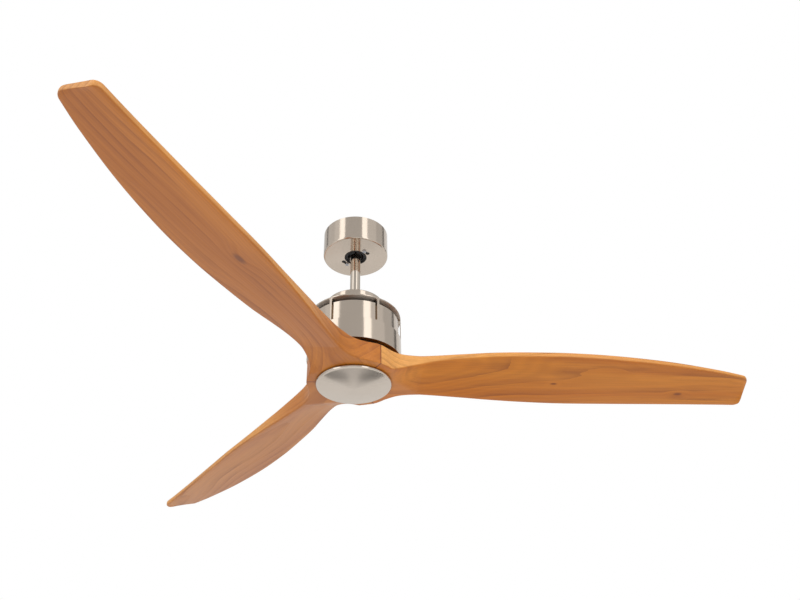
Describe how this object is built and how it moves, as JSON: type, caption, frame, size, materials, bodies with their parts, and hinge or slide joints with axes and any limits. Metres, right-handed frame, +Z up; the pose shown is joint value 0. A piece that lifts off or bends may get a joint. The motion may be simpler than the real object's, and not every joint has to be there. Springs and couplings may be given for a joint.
{
  "type": "ceiling fan",
  "caption": "Ceiling fan: timber blades carved into a round hub under a brushed metal motor housing, hung on a short rod from a drum canopy, with a plain domed cap and no light.",
  "frame": {"origin": "centre of the ceiling plate's top face, on the fan's axis, where the plate meets the ceiling", "axes": "+Z up along the fan's axis into the ceiling, +X along the first blade"},
  "size_m": [1.1936, 1.3468, 0.3654],
  "materials": {
    "brushed_nickel": "satin brushed",
    "zinc_steel": "zinc plated",
    "plain_steel": "plain",
    "black_steel": "satin black",
    "bearing_steel": "polished",
    "lamination_steel": "varnished",
    "cast_aluminium": "die cast",
    "copper_wire": "enamelled",
    "black_nylon": "matt",
    "white_plastic": "matt",
    "grey_plastic": "matt",
    "grey_cable": "matt sheath",
    "black_rubber": "matt",
    "timber": "satin varnish"
  },
  "bodies": {
    "ceiling_mount": {"ceiling_plate": "black_steel", "canopy": "brushed_nickel", "canopy_grommet": "black_rubber", "canopy_screws": "plain_steel", "terminal_block": "white_plastic"},
    "stem": {"hanger_ball": "black_nylon", "ball_cross_pin": "plain_steel", "ball_set_screw": "black_steel", "downrod": "brushed_nickel", "rod_bush": "black_nylon", "motor_lead": "grey_cable", "rod_coupler": "black_steel", "coupler_pin": "plain_steel", "coupler_pin_clip": "black_steel", "coupler_set_screws": "black_steel", "coupling_cover": "brushed_nickel", "cover_grommet": "black_rubber", "run_capacitor": "grey_plastic", "housing_top_plate": "brushed_nickel", "top_plate_screws": "plain_steel", "rim_screws": "brushed_nickel", "motor_housing": "brushed_nickel", "inner_sleeve": "brushed_nickel", "motor_shaft": "plain_steel", "shaft_circlip": "black_steel", "bearing_inner_races": "bearing_steel", "stator_core": "lamination_steel", "stator_windings": "copper_wire"},
    "rotor": {"bearing_outer_races": "bearing_steel", "bearing_balls": "bearing_steel", "rotor_top_shell": "cast_aluminium", "rotor_bottom_shell": "cast_aluminium", "rotor_core": "lamination_steel", "rotor_shell_screws": "plain_steel", "blade_carrier": "black_steel", "carrier_screws": "plain_steel", "blade_gasket": "black_rubber", "blade_1": "timber", "blade_2": "timber", "blade_3": "timber", "blade_clamp_plate": "zinc_steel", "blade_screws": "plain_steel", "cap_bracket": "zinc_steel", "cap_bracket_screws": "plain_steel", "cap": "brushed_nickel"}
  },
  "joints": [
    {"name": "hanger_swing", "type": "hinge", "parent": "ceiling_mount", "child": "stem", "pos_m": [0, 0, -0.038], "axis": [1, 0, 0], "range_deg": [-15, 15]},
    {"name": "rotor_spin", "type": "hinge", "parent": "stem", "child": "rotor", "pos_m": [0, 0, -0.26], "axis": [0, 0, 1], "continuous": true}
  ]
}
